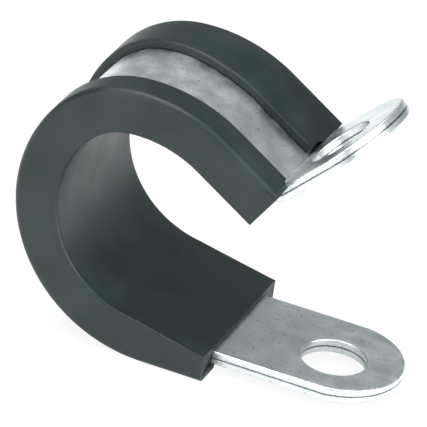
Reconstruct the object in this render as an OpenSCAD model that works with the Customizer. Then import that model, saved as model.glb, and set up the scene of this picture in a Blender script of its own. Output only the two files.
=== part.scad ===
// Rubber-lined P clip: one folded steel strip in one moulded channel liner.
// Millimetres, +Z up. Origin on the axis of the cable seat at mid-width,
// +X toward the lower ear, +Y along the cable.

/* [Cable seat] */
// radius of the arc the cable lies in
seat_r = 10.3; // [9:0.1:12]

/* [Upper run] */
// radius of the tight turn after the seat
shoulder_r = 5.7; // [4.5:0.1:7]
// radius of the shallow turn over the top
crown_r = 11.5; // [9:0.1:14]
// straight length from the crown to the bend into the upper ear
upper_straight = 6; // [5:0.1:8]

/* [Liner] */
// width of the liner along the cable
liner_width = 18; // [16.6:0.1:19.5]
// rubber between the cable and the strip
cushion = 2.1; // [1.6:0.1:2.6]
// thickness of the lips folded over the strip
lip_thickness = 0.9; // [0.7:0.1:1.2]
// reach of each lip in from the side of the liner
lip_reach = 3.5; // [3:0.1:4.5]
// rounding of the two corners away from the cable
outer_round = 0.7; // [0.3:0.05:0.85]
// rounding of the two corners beside the cable
inner_round = 0.3; // [0.1:0.05:0.6]
// straight length from below the seat to the lower end of the liner
lower_straight = 6.5; // [5:0.1:8]
// reach of the cushion and side walls past the start of the bend
upper_overhang = 0.6; // [0.2:0.1:1]
// slope of the flat that thins the lower end
taper_angle = 12; // [6:0.5:13]
// how far inside the seat that flat is drawn, so that it cuts cleanly
taper_lead = 0.02; // [0.01:0.01:0.1]

/* [Strip] */
// width of the steel strip
strip_width = 13; // [12.5:0.1:13.1]
// thickness of the steel sheet
strip_thickness = 1.4; // [1:0.1:1.6]
// distance from below the seat to the centre of the lower round end
lower_reach = 16.5; // [15:0.1:20]
// inside radius of the bend into the upper ear
bend_r = 0.2; // [0.1:0.05:0.8]
// rise of the upper ear above level
upper_ear_angle = 46; // [35:1:55]
// flat length of the upper ear up to the centre of its round end
upper_flat = 4.8; // [4.2:0.1:8]
// radius of both round ends, a little over half the strip
end_r = 6.6; // [6.6:0.1:7.5]

/* [Screw holes] */
// radius of both holes, clearance for an M6 screw
hole_r = 3.2; // [2.6:0.05:3.4]
// shift of both holes toward the front of the strip
hole_shift = 0.7; // [0:0.1:1.2]

/* [View] */
// piece to draw

/* [Hidden] */
$fn = 96;

// cut tools run past the faces they open by this much
past = 1;
liner_depth = cushion + strip_thickness + lip_thickness;
strip_depth = cushion + strip_thickness;
band_in_r = seat_r + cushion;
half_strip = strip_width / 2;
half_liner = liner_width / 2;
// far enough to hold the widest ring about its own centre
reach = 2 * (crown_r + liner_depth);

// Turns of the three arcs. Each is a sum of right angles and of the angles
// of a 3-4-5 triangle, so its sine and cosine are short decimals and the
// arcs meet with no gap.
triangle_angle = atan2(4, 3);
seat_turn = 180 - triangle_angle;
shoulder_turn = 6 * triangle_angle - 270;
crown_turn = 90 - triangle_angle;
// turn from the upper run into the upper ear
ear_turn = seat_turn + shoulder_turn + crown_turn - 180 + upper_ear_angle;

// The loop is drawn flat, its axis along Z, and stood up at the end.
// Each frame below has its origin on an arc's centre and its X axis through
// the point where that arc starts.
module stood_up() {
    rotate([90, 0, 0])
        rotate([0, 0, 270])
            children();
}

module at_shoulder() {
    rotate([0, 0, -seat_turn])
        translate([seat_r - shoulder_r, 0, 0])
            children();
}

module at_crown() {
    at_shoulder()
        rotate([0, 0, -shoulder_turn])
            translate([shoulder_r - crown_r, 0, 0])
                children();
}

module at_top() {
    at_crown()
        rotate([0, 0, -crown_turn])
            children();
}

// the part of a ring, given by its section, from X back through a turn
module arc(sweep) {
    intersection() {
        rotate_extrude()
            children();
        translate([-reach, -reach, -reach])
            cube([2 * reach, reach, 2 * reach]);
        rotate([0, 0, -sweep])
            translate([-reach, 0, -reach])
                cube([2 * reach, reach, 2 * reach]);
    }
}

// a section carried straight on from the X axis
module straight(length) {
    rotate([90, 0, 0])
        linear_extrude(height = length)
            children();
}

// carries a section, drawn as [depth, width], round the whole loop
module loop() {
    translate([0, lower_straight, 0])
        straight(lower_straight)
            translate([seat_r, 0])
                children();
    arc(seat_turn)
        translate([seat_r, 0])
            children();
    at_shoulder()
        arc(shoulder_turn)
            translate([shoulder_r, 0])
                children();
    at_crown()
        arc(crown_turn)
            translate([crown_r, 0])
                children();
    at_top()
        straight(upper_straight + upper_overhang)
            translate([crown_r, 0])
                children();
}

// rounded outline of the liner's section
module liner_outline() {
    inner_y = half_liner - inner_round;
    outer_y = half_liner - outer_round;
    outer_x = liner_depth - outer_round;
    translate([0, -inner_y])
        square([cushion, 2 * inner_y]);
    translate([cushion, -outer_y])
        square([liner_depth - cushion, 2 * outer_y]);
    translate([inner_round, -half_liner])
        square([outer_x - inner_round, liner_width]);
    for (side = [-1, 1]) {
        translate([inner_round, side * inner_y])
            circle(r = inner_round);
        translate([outer_x, side * outer_y])
            circle(r = outer_round);
    }
}

module strip_section() {
    translate([cushion, -half_strip])
        square([strip_thickness, strip_width]);
}

// the channel open to the outside, with room for the strip under its lips
module liner_section() {
    mouth = liner_width - 2 * lip_reach;
    difference() {
        liner_outline();
        strip_section();
        translate([cushion, -mouth / 2])
            square([liner_depth, mouth]);
    }
}

module rubber_liner() {
    color([0.12, 0.15, 0.15])
        stood_up()
            difference() {
                loop()
                    liner_section();
                // room for the bend, where the lips stop short
                at_top()
                    translate([crown_r + cushion, -upper_straight - reach, -half_strip])
                        cube([liner_depth, reach, strip_width]);
                // flat that thins the lower end
                rotate([0, 0, -taper_angle])
                    translate([seat_r - taper_lead - 2 * cushion, 0, -liner_width])
                        cube([2 * cushion, 2 * lower_straight, 2 * liner_width]);
            }
}

// room for a screw and for what is trimmed off round the end of an ear:
// the ear runs back along Y and its sheet stands out along X from zero
module ear_waste(flat_length, side) {
    through = strip_thickness + 2 * past;
    difference() {
        translate([-past, -flat_length - reach, -strip_width])
            cube([through, reach, 2 * strip_width]);
        translate([-2 * past, -flat_length, 0])
            rotate([0, 90, 0])
                cylinder(r = end_r, h = through + 2 * past);
    }
    translate([-past, -flat_length, side * hole_shift])
        rotate([0, 90, 0])
            cylinder(r = hole_r, h = through);
}

// flat steps round the tight bend
bend_steps = 8;

function polar(r, a) = [r * cos(a), r * sin(a)];

// one face of the sheet round the bend and on to the tip
function fold_face(r, tip) = concat(
    [for (i = [0:bend_steps]) polar(r, 180 + ear_turn * i / bend_steps)],
    [polar(r, 180 + ear_turn) + polar(tip, 270 + ear_turn)]
);

function backwards(list) = [for (i = [len(list) - 1:-1:0]) list[i]];

// upper straight, bend and ear as one outline about the bend's centre
module folded_end() {
    tip = upper_flat + end_r + past;
    outside = fold_face(bend_r + strip_thickness, tip);
    inside = fold_face(bend_r, tip);
    start = [
        [-bend_r, upper_straight],
        [-bend_r - strip_thickness, upper_straight]
    ];
    translate([0, 0, -half_strip])
        linear_extrude(height = strip_width)
            polygon(concat(start, outside, backwards(inside)));
}

// flat piece of the strip's ring, from X back through a turn
module strip_arc(r, sweep) {
    translate([0, 0, -half_strip])
        linear_extrude(height = strip_width)
            intersection() {
                difference() {
                    circle(r = r + strip_depth);
                    circle(r = r + cushion);
                }
                translate([-reach, -reach])
                    square([2 * reach, reach]);
                rotate([0, 0, -sweep])
                    translate([-reach, 0])
                        square([2 * reach, reach]);
            }
}

module steel_band() {
    lower_tip = lower_reach + end_r + past;
    color([0.76, 0.79, 0.79])
        stood_up()
            difference() {
                union() {
                    translate([band_in_r, 0, -half_strip])
                        cube([strip_thickness, lower_tip, strip_width]);
                    strip_arc(seat_r, seat_turn);
                    at_shoulder()
                        strip_arc(shoulder_r, shoulder_turn);
                    at_crown()
                        strip_arc(crown_r, crown_turn);
                    at_top()
                        translate([crown_r + strip_depth + bend_r, -upper_straight, 0])
                            folded_end();
                }
                translate([band_in_r, 0, 0])
                    rotate([180, 0, 0])
                        ear_waste(lower_reach, -1);
                at_top()
                    translate([crown_r + strip_depth + bend_r, -upper_straight, 0])
                        rotate([0, 0, ear_turn])
                            translate([-bend_r - strip_thickness, 0, 0])
                                ear_waste(upper_flat, 1);
            }
}

steel_band();
rubber_liner();
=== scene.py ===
import math

import bmesh
import bpy
import numpy as np
from mathutils import Matrix, Vector


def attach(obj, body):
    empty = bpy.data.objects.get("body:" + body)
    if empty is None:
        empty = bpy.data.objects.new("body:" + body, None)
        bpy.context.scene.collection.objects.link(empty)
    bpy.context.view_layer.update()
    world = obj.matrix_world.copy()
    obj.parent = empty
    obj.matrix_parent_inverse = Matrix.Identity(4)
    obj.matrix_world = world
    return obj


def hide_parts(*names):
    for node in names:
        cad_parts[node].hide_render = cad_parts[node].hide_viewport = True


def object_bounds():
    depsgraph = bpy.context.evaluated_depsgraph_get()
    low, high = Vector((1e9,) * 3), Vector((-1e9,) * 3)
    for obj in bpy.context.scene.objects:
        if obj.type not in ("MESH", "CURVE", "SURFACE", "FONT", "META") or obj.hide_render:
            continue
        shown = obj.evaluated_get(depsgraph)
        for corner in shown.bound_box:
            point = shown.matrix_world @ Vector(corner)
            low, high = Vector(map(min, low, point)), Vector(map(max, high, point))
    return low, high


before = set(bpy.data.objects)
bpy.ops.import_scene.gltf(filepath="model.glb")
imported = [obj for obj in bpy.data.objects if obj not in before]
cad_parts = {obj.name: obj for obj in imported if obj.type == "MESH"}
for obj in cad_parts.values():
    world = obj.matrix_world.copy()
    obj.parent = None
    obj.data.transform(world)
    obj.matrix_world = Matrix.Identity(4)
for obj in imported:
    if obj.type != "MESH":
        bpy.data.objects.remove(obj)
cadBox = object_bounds()
print("frame loaded")

mm = 0.001

# the side view that strip and rubber share, in millimetres and degrees
loop = {
    "seatR": 10.3,          # arc the cable lies in
    "shoulderR": 5.7,
    "crownR": 11.5,
    "seatTurn": 126.8699,
    "shoulderTurn": 48.7806,
    "crownTurn": 36.8699,
    "upperStraight": 6.0,
    "cushion": 2.1,         # rubber under the strip
    "sheet": 1.4,
    "lip": 0.9,             # rubber over the strip
    "bendR": 0.2,
    "earAngle": 46.0,
}


def polar(r, degrees):
    a = np.radians(degrees)
    return np.stack([r * np.cos(a), r * np.sin(a)], -1)


def loopJoints():
    # centres and lengths where one run hands over to the next
    c = loop
    a1 = 270 - c["seatTurn"]
    a2 = a1 - c["shoulderTurn"]
    a3 = a2 - c["crownTurn"]
    shoulderC = polar(c["seatR"] - c["shoulderR"], a1)
    crownC = shoulderC + polar(c["shoulderR"] - c["crownR"], a2)
    top = crownC + polar(c["crownR"], a3)
    end = top + polar(c["upperStraight"], a3 - 90)
    outside = c["cushion"] + c["sheet"] + c["bendR"]
    bendC = end + polar(outside, a3)
    s1 = c["seatR"] * math.radians(c["seatTurn"])
    s2 = s1 + c["shoulderR"] * math.radians(c["shoulderTurn"])
    s3 = s2 + c["crownR"] * math.radians(c["crownTurn"])
    s4 = s3 + c["upperStraight"]
    fold = c["earAngle"] + 90 - a3
    s5 = s4 + math.radians(fold) * (c["bendR"] + c["sheet"] / 2)
    return {"angles": (a1, a2, a3), "centres": (np.zeros(2), shoulderC, crownC), "top": top,
            "bendC": bendC, "outside": outside, "s": (0.0, s1, s2, s3, s4, s5)}


joints = loopJoints()


def railAt(s, folded):
    # point on the cable side and outward normal at each length s: level run, three arcs
    # that turn one way, a straight, then either the tight fold and the raised ear or straight on
    s = np.asarray(s, float)
    a1, a2, a3 = joints["angles"]
    s0, s1, s2, s3, s4, s5 = joints["s"]
    point = np.zeros(s.shape + (2,))
    normal = np.zeros(s.shape + (2,))

    def put(mask, p, n):
        point[mask] = p[mask]
        normal[mask] = n[mask]

    flat = np.broadcast_to(polar(1, 270.0), normal.shape)
    put(s < s0, np.stack([-s, np.full_like(s, -loop["seatR"])], -1), flat)
    arcs = ((s0, s1, 270.0, loop["seatR"]), (s1, s2, a1, loop["shoulderR"]), (s2, s3, a2, loop["crownR"]))
    for centre, (lo, hi, start, r) in zip(joints["centres"], arcs):
        n = polar(1, start - np.degrees((s - lo) / r))
        put((s >= lo) & (s < hi), centre + r * n, n)
    n = np.broadcast_to(polar(1, a3), normal.shape)
    run = joints["top"] + (s - s3)[..., None] * polar(1, a3 - 90)
    put(s >= s3, run, n)
    if folded:
        n = polar(1, a3 + np.degrees((s - s4) / (loop["bendR"] + loop["sheet"] / 2)))
        put((s >= s4) & (s < s5), joints["bendC"] - joints["outside"] * n, n)
        n = np.broadcast_to(polar(1, loop["earAngle"] + 90), normal.shape)
        ear = joints["bendC"] - joints["outside"] * n + (s - s5)[..., None] * polar(1, loop["earAngle"])
        put(s >= s5, ear, n)
    return point, normal


def onRail(s, depth, across, folded=False):
    # (length, depth, place across the width) to x, y, z in metres: the rail's point at that
    # length, moved out along its normal by the depth, with y straight across
    point, normal = railAt(s, folded)
    side = point + normal * np.asarray(depth)[..., None]
    return np.stack([side[..., 0], np.broadcast_to(across, side.shape[:-1]), side[..., 1]], -1) * mm


def quads(rows, cols, start=0, closeRows=False, closeCols=False):
    # four corners of every cell of a grid numbered row by row
    i = np.arange(rows if closeRows else rows - 1)
    j = np.arange(cols if closeCols else cols - 1)
    i, j = np.meshgrid(i, j, indexing="ij")
    i2, j2 = (i + 1) % rows, (j + 1) % cols
    cells = np.stack([i * cols + j, i2 * cols + j, i2 * cols + j2, i * cols + j2], -1)
    return cells.reshape(-1, 4) + start


def meshObject(name, verts, faces, marks, smoothAngle, caps=()):
    # a welded, outward-facing mesh with its point attributes
    mesh = bpy.data.meshes.new(name)
    mesh.from_pydata(verts.reshape(-1, 3).tolist(), [], faces.tolist())
    for label, values in marks.items():
        layer = mesh.attributes.new(label, "FLOAT", "POINT")
        layer.data.foreach_set("value", np.ascontiguousarray(values, np.float32).ravel())
    bm = bmesh.new()
    bm.from_mesh(mesh)
    bm.verts.ensure_lookup_table()
    for ring in caps:
        cap = bm.faces.new([bm.verts[int(k)] for k in ring])
        bmesh.ops.triangulate(bm, faces=[cap], ngon_method="BEAUTY")
    bmesh.ops.remove_doubles(bm, verts=bm.verts, dist=2e-7)
    bmesh.ops.recalc_face_normals(bm, faces=bm.faces)
    print(name, "open edges", sum(1 for e in bm.edges if not e.is_manifold), "faces", len(bm.faces))
    bm.to_mesh(mesh)
    bm.free()
    mesh.shade_smooth()
    mesh.set_sharp_from_angle(angle=math.radians(smoothAngle))
    obj = bpy.data.objects.new(name, mesh)
    bpy.context.scene.collection.objects.link(obj)
    return obj


def arcPoints(centre, r, start, stop, count):
    # (depth, width) round a corner, angle measured from the depth axis
    return np.array(centre) + polar(r, np.linspace(start, stop, count + 1))


def line(a, b, count):
    # points from a to b, both ends left in
    return np.array(a) + np.linspace(0, 1, count + 1)[:, None] * (np.array(b) - np.array(a))


def joinedPath(pieces):
    # runs of points end to end, without the doubled ones
    pts = np.concatenate(pieces)
    keep = np.ones(len(pts), bool)
    keep[1:] = np.linalg.norm(np.diff(pts, axis=0), axis=1) > 1e-6
    return pts[keep]


# rubber liner
liner = {
    "width": 18.0,
    "lipReach": 3.5,
    "outerRound": 0.7,
    "innerRound": 0.32,
    "tipRound": 0.22,
    "slotGap": 0.01,       # keeps the slot off the strip
    "lowerEnd": 6.5,       # length past the lowest point
    "overhang": 0.6,       # cushion and walls past the start of the fold
    "taper": 12.0,
    "taperLead": 0.02,
    "lowerSkew": 0.2,      # the cut ends are a little out of square
    "upperSkew": -0.1,
    # the back lip creeps over the strip toward the upper end: (length along the rail, extra reach)
    "backLip": ((17.0, 0.0), (22.8, 1.2), (27.7, 2.6), (31.0, 3.5), (35.1, 4.0)),
}


def linerSection():
    # closed channel outline in (depth, width): seat face, wall, lip, slot and back
    c = liner
    half = c["width"] / 2
    deep = loop["cushion"] + loop["sheet"] + loop["lip"]
    slotIn = loop["cushion"] - c["slotGap"]
    slotOut = loop["cushion"] + loop["sheet"] + c["slotGap"]
    edge = half - c["lipReach"]
    strip = 6.5 + c["slotGap"]
    ri, ro, rt = c["innerRound"], c["outerRound"], c["tipRound"]
    side = joinedPath([
        line((0, 0), (0, half - ri), 14),
        arcPoints((ri, half - ri), ri, 180, 90, 6),
        line((ri, half), (deep - ro, half), 10),
        arcPoints((deep - ro, half - ro), ro, 90, 0, 9),
        line((deep, half - ro), (deep, edge + rt), 6),
        arcPoints((deep - rt, edge + rt), rt, 0, -90, 5),
        arcPoints((slotOut + rt / 2, edge + rt / 2), rt / 2, -90, -180, 3),
        line((slotOut, edge + rt / 2), (slotOut, strip), 3),
        line((slotOut, strip), (slotIn, strip), 3),
        line((slotIn, strip), (slotIn, 0), 8),
    ])
    other = side[1:-1][::-1] * (1, -1)
    return np.concatenate([side, other])


def buildLiner():
    # each section point is carried along the rail at its own depth and width; the lower end
    # thins to a flat that leaves the seat as a tangent, and the lips stop short of the fold
    c = liner
    s = joints["s"]
    end = s[4] + c["overhang"]
    stations = np.unique(np.concatenate([
        np.linspace(-c["lowerEnd"], 0, 40), np.linspace(0, s[1], 110), np.linspace(s[1], s[2], 44),
        np.linspace(s[2], s[3], 44), np.linspace(s[3], end, 40)]).round(6))
    section = linerSection()
    depth, width = section[:, 0][None, :], section[:, 1][None, :]
    along = stations[:, None] + 0 * width
    # the two cut ends
    half = c["width"] / 2
    nearLow = np.clip(1 - (along + c["lowerEnd"]) / 4, 0, 1)
    nearTop = np.clip(1 - (end - along) / 3, 0, 1)
    along = along - nearLow * c["lowerSkew"] * width / half + nearTop * c["upperSkew"] * width / half
    lips = (np.abs(width) < 6.5) & (depth > loop["cushion"] + 0.5)
    along = along - lips * nearTop * c["overhang"]
    # the back lip's own points slide inward, most at its tip and none at the wall
    where, extra = np.array(c["backLip"]).T
    root = np.where(depth < loop["cushion"] + loop["sheet"] + 0.1, 6.5 + c["slotGap"], half - c["outerRound"])
    tip = half - c["lipReach"]
    slide = np.clip((root - width) / (root - tip), 0, 1) * (depth > loop["cushion"] + 0.5) * (width > 0)
    width = width - slide * np.interp(along, where, extra)
    # depth at which the tangent flat lies under each station
    point, normal = railAt(along, False)
    u = polar(1, 270 - c["taper"])
    flat = (loop["seatR"] - c["taperLead"] - point @ u) / (normal @ u)
    flat = np.where(along < loop["seatR"] * math.radians(c["taper"]), np.clip(flat, 0, None), 0)
    squeeze = np.clip(1 - depth / loop["cushion"], 0, 1)
    pts = onRail(along, depth + flat * squeeze, width)
    rows, cols = along.shape
    faces = quads(rows, cols, closeCols=True)
    caps = [np.arange(cols), np.arange(cols) + (rows - 1) * cols]
    marks = {"rim": np.clip(1 - depth / 0.55, 0, 1) * (np.abs(width) > half - 0.9) + 0 * along}
    return meshObject("rubberLiner", pts, faces, marks, 40, caps)


# steel strip
strip = {
    "half": 6.5,
    "edgeRound": 0.2,
    "holeRound": 0.14,
    "holeR": 3.2,
    "holeShift": -0.7,     # both holes sit toward the front
    "endR": 6.6,
    "joinAt": -4.3,        # where an ear's flat meets the strip, from its hole
    "lowerReach": 16.5,
    "upperFlat": 4.8,
}


def earOutline():
    # one side's wall line round the ear, inset by the edge rounding, with its outward normals;
    # the first and last points are where the ear meets the strip
    c = strip
    inset = c["edgeRound"]
    turn = math.degrees(math.asin(c["half"] / c["endR"]))
    corner = math.sqrt(c["endR"] ** 2 - c["half"] ** 2)
    side = line((c["joinAt"], c["half"]), (corner, c["half"]), 14)[:-1]
    angle = np.linspace(turn, -turn, 73)
    nose = polar(c["endR"], angle)
    pts = np.concatenate([side, nose, side[::-1] * (1, -1)])
    up = np.broadcast_to((0.0, 1.0), side.shape)
    normals = np.concatenate([up, polar(1, angle), up * (1, -1)])
    return pts - normals * inset, normals


def edgeProfile(r, count):
    # (outward, height) over a rounded sheet edge from the top face to the bottom face
    t = loop["sheet"]
    top = arcPoints((0, t - r), r, 90, 0, 4)
    wall = line((r, t - r), (r, r), count)
    bottom = arcPoints((0, r), r, 0, -90, 4)
    return joinedPath([top, wall, bottom])


def earGrids():
    # in (out, across, height): each spoke runs from the hole's wall straight to the outline on
    # both faces as one grid, and the outline pushed out by a rounded edge is the other
    c = strip
    t = loop["sheet"]
    outline, normals = earOutline()
    joinLine = line(outline[-1], outline[0], 26)[1:-1]
    rim = np.concatenate([outline, joinLine])
    hole = np.array((0.0, c["holeShift"]))
    toRim = rim - hole
    reach = np.linalg.norm(toRim, axis=1, keepdims=True)
    spoke = toRim / reach
    r = c["holeR"] + c["holeRound"]
    steps = np.linspace(0, 1, 9)[1:]
    face = hole + spoke * r + steps[:, None, None] * (rim - hole - spoke * r)
    profile = edgeProfile(c["holeRound"], 8)
    bore = hole + spoke * (r - profile[:, 0])[:, None, None]
    flat = np.concatenate([face[::-1], bore, face])
    height = np.concatenate([np.full(len(face), t), profile[:, 1], np.zeros(len(face))])
    walls = np.concatenate([np.zeros(len(face)), profile[:, 0] / c["holeRound"], np.zeros(len(face))])
    spokes = (flat, height[:, None] + 0 * flat[..., 0], walls[:, None] + 0 * flat[..., 0])
    profile = edgeProfile(c["edgeRound"], 8)
    wall = outline + profile[:, 0][:, None, None] * normals
    heights = profile[:, 1][:, None] + 0 * wall[..., 0]
    edge = (profile[:, 0] / c["edgeRound"])[:, None] + 0 * wall[..., 0]
    return spokes, (wall, heights, edge), joinLine[:, 1]


def buildStrip():
    # one flat closed section, rounded at its edges, carried along the rail at the cushion's
    # depth, with a flat ear of spokes round its hole welded on at each end
    c = strip
    s = joints["s"]
    spokes, wall, joinY = earGrids()
    inset = c["half"] - c["edgeRound"]
    profile = edgeProfile(c["edgeRound"], 8)
    acrossY = np.concatenate([[-inset], joinY, [inset]])      # joinY runs from front to back
    t = loop["sheet"]
    frontSide = np.stack([-inset - profile[::-1, 0], profile[::-1, 1]], -1)
    backSide = np.stack([inset + profile[:, 0], profile[:, 1]], -1)
    ring = np.concatenate([
        np.stack([acrossY, np.full_like(acrossY, t)], -1)[:-1],
        backSide[:-1],
        np.stack([acrossY[::-1], np.zeros_like(acrossY)], -1)[:-1],
        frontSide[:-1]])
    first = -(c["lowerReach"] + c["joinAt"])
    last = s[5] + c["upperFlat"] + c["joinAt"]
    stations = np.unique(np.concatenate([
        np.linspace(first, 0, 30), np.linspace(0, s[1], 110), np.linspace(s[1], s[2], 44),
        np.linspace(s[2], s[3], 44), np.linspace(s[3], s[4], 14), np.linspace(s[4], s[5], 22),
        np.linspace(s[5], last, 4)]).round(9))
    y, h = ring[:, 0][None, :], ring[:, 1][None, :]
    along = stations[:, None] + 0 * y
    middle = onRail(along, loop["cushion"] + h, y, True)
    rounded = np.clip((np.abs(y) - inset) / c["edgeRound"], 0, 1) + 0 * along
    parts = [(middle, quads(*along.shape, closeCols=True), rounded, h + 0 * along)]

    def ear(start, way):
        # out is measured from the hole, away from the loop
        for (flat, height, edge), closed in ((spokes, True), (wall, False)):
            out, across = flat[..., 0], flat[..., 1]
            pts = onRail(start + way * out, loop["cushion"] + height, across, True)
            parts.append((pts, quads(*height.shape, closeCols=closed), edge, height))

    ear(-c["lowerReach"], -1)
    ear(s[5] + c["upperFlat"], 1)
    counts = np.cumsum([0] + [p[0].reshape(-1, 3).shape[0] for p in parts])
    verts = np.concatenate([p[0].reshape(-1, 3) for p in parts])
    faces = np.concatenate([p[1] + k for p, k in zip(parts, counts)])
    marks = {"edge": np.concatenate([p[2].ravel() for p in parts]),
             "through": np.concatenate([p[3].ravel() for p in parts]) / t}
    return meshObject("steelStrip", verts, faces, marks, 40)


# finishes
def nodeGroup(name, inputs, outputs):
    group = bpy.data.node_groups.new(name, "ShaderNodeTree")
    for label, kind, value in inputs:
        socket = group.interface.new_socket(name=label, in_out="INPUT", socket_type=kind)
        if value is not None:
            socket.default_value = value
    for label, kind in outputs:
        group.interface.new_socket(name=label, in_out="OUTPUT", socket_type=kind)
    return group, group.nodes.new("NodeGroupInput"), group.nodes.new("NodeGroupOutput")


def addMath(tree, kind, a, b=None):
    node = tree.nodes.new("ShaderNodeMath")
    node.operation = kind
    for k, value in enumerate((a, b)):
        if value is None:
            continue
        if isinstance(value, (int, float)):
            node.inputs[k].default_value = value
        else:
            tree.links.new(value, node.inputs[k])
    return node.outputs[0]


def addRange(tree, value, lo, hi, outLo=0.0, outHi=1.0):
    node = tree.nodes.new("ShaderNodeMapRange")
    tree.links.new(value, node.inputs["Value"])
    for label, v in (("From Min", lo), ("From Max", hi), ("To Min", outLo), ("To Max", outHi)):
        node.inputs[label].default_value = v
    return node.outputs["Result"]


def addNoise(tree, vector, scale, detail):
    node = tree.nodes.new("ShaderNodeTexNoise")
    tree.links.new(vector, node.inputs["Vector"])
    if isinstance(scale, (int, float)):
        node.inputs["Scale"].default_value = scale
    else:
        tree.links.new(scale, node.inputs["Scale"])
    node.inputs["Detail"].default_value = detail
    return node.outputs["Fac"]


def mixColor(tree, factor, a, b):
    node = tree.nodes.new("ShaderNodeMix")
    node.data_type = "RGBA"
    tree.links.new(factor, node.inputs["Factor"])
    for socket, value in ((node.inputs["A"], a), (node.inputs["B"], b)):
        if isinstance(value, tuple):
            socket.default_value = value + (1.0,)
        else:
            tree.links.new(value, socket)
    return node.outputs["Result"]


def mottleGroup():
    # broad patches, a fine grain whose height feeds a bump, and specks at the grain's peaks
    group, ins, outs = nodeGroup("surfaceMottle", [
        ("Vector", "NodeSocketVector", None), ("Patch Scale", "NodeSocketFloat", 300.0),
        ("Grain Scale", "NodeSocketFloat", 4000.0)],
        [("Patches", "NodeSocketFloat"), ("Grain", "NodeSocketFloat"), ("Specks", "NodeSocketFloat")])
    patches = addNoise(group, ins.outputs["Vector"], ins.outputs["Patch Scale"], 3.0)
    grain = addNoise(group, ins.outputs["Vector"], ins.outputs["Grain Scale"], 2.0)
    coarser = addMath(group, "MULTIPLY", ins.outputs["Grain Scale"], 0.55)
    cells = addNoise(group, ins.outputs["Vector"], coarser, 1.0)
    group.links.new(addRange(group, patches, 0.32, 0.68), outs.inputs["Patches"])
    group.links.new(grain, outs.inputs["Grain"])
    group.links.new(addRange(group, cells, 0.66, 0.74), outs.inputs["Specks"])
    return group


mottle = mottleGroup()


def newMaterial(name):
    mat = bpy.data.materials.new(name)
    mat.use_nodes = True
    tree = mat.node_tree
    shader = tree.nodes["Principled BSDF"]
    coords = tree.nodes.new("ShaderNodeTexCoord")
    return mat, tree, shader, coords.outputs["Object"]


def placeMottle(tree, vector, patchScale, grainScale):
    node = tree.nodes.new("ShaderNodeGroup")
    node.node_tree = mottle
    tree.links.new(vector, node.inputs["Vector"])
    node.inputs["Patch Scale"].default_value = patchScale
    node.inputs["Grain Scale"].default_value = grainScale
    return node.outputs


def readAttribute(tree, name):
    node = tree.nodes.new("ShaderNodeAttribute")
    node.attribute_name = name
    return node.outputs["Fac"]


def addBump(tree, shader, height, strength, distance):
    node = tree.nodes.new("ShaderNodeBump")
    node.inputs["Strength"].default_value = strength
    node.inputs["Distance"].default_value = distance
    tree.links.new(height, node.inputs["Height"])
    tree.links.new(node.outputs["Normal"], shader.inputs["Normal"])


rubberLook = {
    "deep": (0.004, 0.010, 0.010),
    "bloom": (0.010, 0.019, 0.018),
    "roughness": (0.40, 0.52),
    "patchScale": 220.0,
    "grainScale": 5200.0,
}


def rubberMaterial():
    # moulded rubber: slightly greyer patches, fine grain in the bump
    c = rubberLook
    mat, tree, shader, coords = newMaterial("mouldedRubber")
    m = placeMottle(tree, coords, c["patchScale"], c["grainScale"])
    tree.links.new(mixColor(tree, m["Patches"], c["deep"], c["bloom"]), shader.inputs["Base Color"])
    tree.links.new(addRange(tree, m["Patches"], 0, 1, *c["roughness"]), shader.inputs["Roughness"])
    addBump(tree, shader, m["Grain"], 0.12, 0.00006)
    shader.inputs["IOR"].default_value = 1.5
    shader.inputs["Specular IOR Level"].default_value = 0.32
    return mat


zincLook = {
    "bright": (0.70, 0.735, 0.735),
    "dull": (0.56, 0.60, 0.60),
    "speck": (0.22, 0.25, 0.25),
    "sheared": (0.50, 0.53, 0.53),
    "line": (0.10, 0.11, 0.11),
    "roughness": (0.30, 0.44),
    "patchScale": 520.0,
    "grainScale": 5200.0,
    "speckShare": 0.75,
    "grainShare": 0.45,
    "edgeShare": 0.25,
    "lineAt": 0.5,         # through the sheet, from 0 to 1
    "lineFades": (0.09, 0.03),
    "lineWobble": 0.10,
}


def zincMaterial():
    # plated steel: cloudy patches and dark specks, and a dark line along each cut edge
    c = zincLook
    mat, tree, shader, coords = newMaterial("zincPlate")
    m = placeMottle(tree, coords, c["patchScale"], c["grainScale"])
    face = mixColor(tree, m["Patches"], c["dull"], c["bright"])
    face = mixColor(tree, addMath(tree, "MULTIPLY", m["Specks"], c["speckShare"]), face, c["speck"])
    face = mixColor(tree, addRange(tree, m["Grain"], 0.58, 0.40, 0.0, c["grainShare"]), face, c["dull"])
    edge = addRange(tree, readAttribute(tree, "edge"), 0.75, 1.0)
    through = readAttribute(tree, "through")
    uneven = addMath(tree, "MULTIPLY", addMath(tree, "SUBTRACT", m["Grain"], 0.5), c["lineWobble"])
    through = addMath(tree, "ADD", through, uneven)
    fromLine = addMath(tree, "ABSOLUTE", addMath(tree, "SUBTRACT", through, c["lineAt"]))
    seam = addMath(tree, "MULTIPLY", addRange(tree, fromLine, *c["lineFades"]), edge)
    face = mixColor(tree, addMath(tree, "MULTIPLY", edge, c["edgeShare"]), face, c["sheared"])
    face = mixColor(tree, seam, face, c["line"])
    tree.links.new(face, shader.inputs["Base Color"])
    tree.links.new(addRange(tree, m["Patches"], 0, 1, *c["roughness"]), shader.inputs["Roughness"])
    shader.inputs["Metallic"].default_value = 1.0
    addBump(tree, shader, m["Grain"], 0.10, 0.00005)
    return mat


# stage: camera, floor and light
view = {
    "target": (0.002298, -0.000249, -0.001721),
    "azimuth": 17.522,
    "elevation": 28.355,
    "roll": 9.02,
    "distance": 0.365,
    "lens": 326.07,
}

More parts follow.
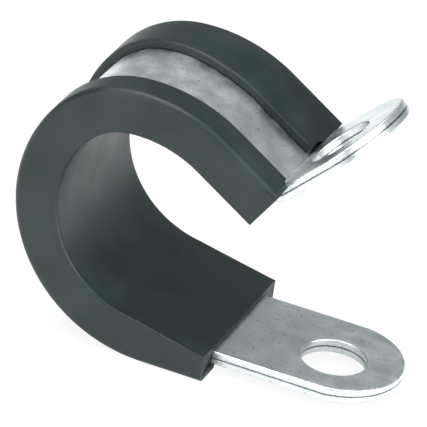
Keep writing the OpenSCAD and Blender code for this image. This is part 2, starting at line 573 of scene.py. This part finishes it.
room = {
    "tint": (0.93, 0.97, 1.0, 1),
    "strength": 0.45,
    "floorHalf": 3.0,
    "floorGap": 0.00005,   # under the part
    "floorColor": (0.86, 0.87, 0.87, 1),
    "floorRoughness": 0.9,
    "floorGlow": 0.9,      # share of plain white that the camera sees
    # name, place, size and power of each soft panel
    "panels": (
        ("rightPanel", (0.55, -0.25, 0.22), (0.5, 0.5), 6.0),
        ("topPanel", (-0.15, -0.1, 0.7), (0.6, 0.6), 8.0),
        ("frontFill", (-0.35, -0.7, 0.25), (0.6, 0.4), 3.0),
    ),
}


def placeCamera():
    c = view
    a, e = math.radians(c["azimuth"]), math.radians(c["elevation"])
    back = Vector((math.sin(a) * math.cos(e), -math.cos(a) * math.cos(e), math.sin(e)))
    data = bpy.data.cameras.new("camera")
    data.lens, data.sensor_width = c["lens"], 36.0
    data.clip_start, data.clip_end = 0.01, 10.0
    cam = bpy.data.objects.new("camera", data)
    turn = (-back).to_track_quat("-Z", "Y").to_matrix() @ Matrix.Rotation(math.radians(c["roll"]), 3, "Z")
    cam.matrix_world = Matrix.Translation(Vector(c["target"]) + back * c["distance"]) @ turn.to_4x4()
    bpy.context.scene.collection.objects.link(cam)
    bpy.context.scene.camera = cam


def areaLight(name, place, size, power):
    # a soft panel that looks at the loop
    data = bpy.data.lights.new(name, "AREA")
    data.shape, data.size, data.size_y = "RECTANGLE", size[0], size[1]
    data.energy = power
    obj = bpy.data.objects.new(name, data)
    place = Vector(place)
    obj.matrix_world = Matrix.Translation(place) @ (-place).to_track_quat("-Z", "Y").to_matrix().to_4x4()
    bpy.context.scene.collection.objects.link(obj)


def whiteForCamera(tree, seen, other, white, output):
    # the camera sees plain white by the share in seen, and everything else sees the other shader
    white.inputs["Color"].default_value = (1, 1, 1, 1)
    white.inputs["Strength"].default_value = 1.0
    mix = tree.nodes.new("ShaderNodeMixShader")
    tree.links.new(seen, mix.inputs[0])
    tree.links.new(other.outputs[0], mix.inputs[1])
    tree.links.new(white.outputs[0], mix.inputs[2])
    tree.links.new(mix.outputs[0], tree.nodes[output].inputs["Surface"])


def setRoom():
    world = bpy.data.worlds.new("softRoom")
    bpy.context.scene.world = world
    world.use_nodes = True
    tree = world.node_tree
    glow = tree.nodes["Background"]
    glow.inputs["Color"].default_value = room["tint"]
    glow.inputs["Strength"].default_value = room["strength"]
    ray = tree.nodes.new("ShaderNodeLightPath")
    white = tree.nodes.new("ShaderNodeBackground")
    whiteForCamera(tree, ray.outputs["Is Camera Ray"], glow, white, "World Output")


def setFloor():
    # a level sheet just under the part
    low = cadBox[0][2] - room["floorGap"]
    far = room["floorHalf"]
    corners = [(-far, -far, low), (far, -far, low), (far, far, low), (-far, far, low)]
    mesh = bpy.data.meshes.new("floor")
    mesh.from_pydata(corners, [], [(0, 1, 2, 3)])
    floor = bpy.data.objects.new("floor", mesh)
    bpy.context.scene.collection.objects.link(floor)
    mat, tree, shader, _ = newMaterial("paleFloor")
    shader.inputs["Base Color"].default_value = room["floorColor"]
    shader.inputs["Roughness"].default_value = room["floorRoughness"]
    ray = tree.nodes.new("ShaderNodeLightPath")
    amount = addMath(tree, "MULTIPLY", ray.outputs["Is Camera Ray"], room["floorGlow"])
    white = tree.nodes.new("ShaderNodeEmission")
    whiteForCamera(tree, amount, shader, white, "Material Output")
    mesh.materials.append(mat)


bpy.context.scene.view_settings.view_transform = "Standard"
placeCamera()
setRoom()
setFloor()
for panel in room["panels"]:
    areaLight(*panel)
print("stage set")

rubber = buildLiner()
rubber.data.materials.append(rubberMaterial())
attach(rubber, "root")
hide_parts("rubber_liner")
print("liner built")

steel = buildStrip()
steel.data.materials.append(zincMaterial())
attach(steel, "root")
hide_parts("steel_band")
print("strip built")
